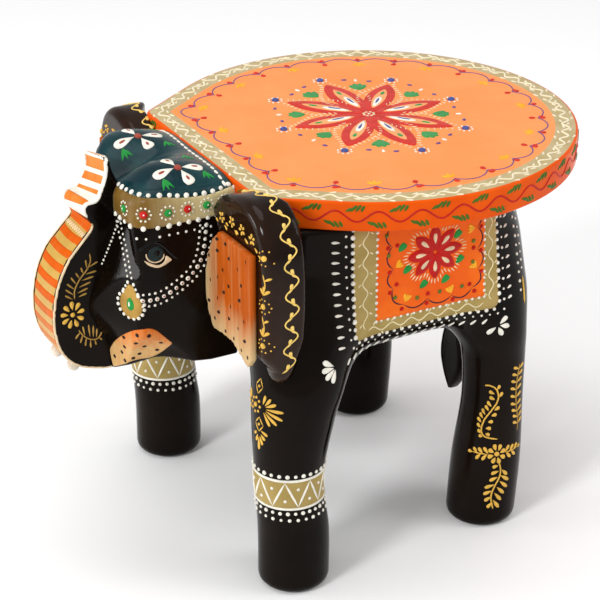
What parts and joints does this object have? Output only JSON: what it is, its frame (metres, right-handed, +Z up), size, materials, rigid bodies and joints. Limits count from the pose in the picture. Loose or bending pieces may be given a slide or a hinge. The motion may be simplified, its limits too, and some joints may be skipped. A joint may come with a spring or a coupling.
{
  "type": "carved elephant stool",
  "caption": "Low wooden stool carved as a standing elephant with a round seat board on its back, painted black and orange with raised folk-pattern dots and vines.",
  "frame": {"origin": "on the floor, under the middle of the overall length and width", "axes": "+X towards the tail, -X towards the trunk; +Y to the animal's right; +Z up"},
  "size_m": [0.347, 0.258, 0.266],
  "materials": {
    "seat_paint": "orange emulsion paint under clear lacquer",
    "black_lacquer": "black-brown paint under glossy lacquer on carved wood",
    "brown_lacquer": "dark brown paint under glossy lacquer",
    "lining_orange": "thin orange stain over saw-marked wood",
    "cream_paint": "cream paint",
    "cap_blue": "dark blue-green paint under glossy lacquer",
    "gold_paint": "dull gold paint",
    "cloth_red": "orange-red paint under clear lacquer",
    "raised_white": "raised white acrylic relief paste",
    "raised_yellow": "raised golden-yellow acrylic relief paste",
    "raised_colour": "raised or brushed coloured acrylic paint: red, green, blue",
    "bare_wood": "bare light hardwood",
    "putty": "wood filler",
    "nail_steel": "plain wire nail"
  },
  "bodies": {
    "root": {"seat_board": "seat_paint", "seat_nails": "nail_steel", "seat_nail_fillers": "putty", "body_block": "black_lacquer", "front_left_leg": "black_lacquer", "front_right_leg": "black_lacquer", "rear_left_leg": "black_lacquer", "rear_right_leg": "black_lacquer", "leg_dowels": "bare_wood", "head_block": "black_lacquer", "head_dowels": "bare_wood", "trunk": "black_lacquer", "trunk_dowels": "bare_wood", "left_ear": "brown_lacquer", "right_ear": "brown_lacquer", "left_ear_lining": "lining_orange", "right_ear_lining": "lining_orange", "ear_nails": "nail_steel", "left_tusk": "cream_paint", "right_tusk": "cream_paint", "tail": "black_lacquer", "tail_dowel": "bare_wood"}
  },
  "joints": []
}
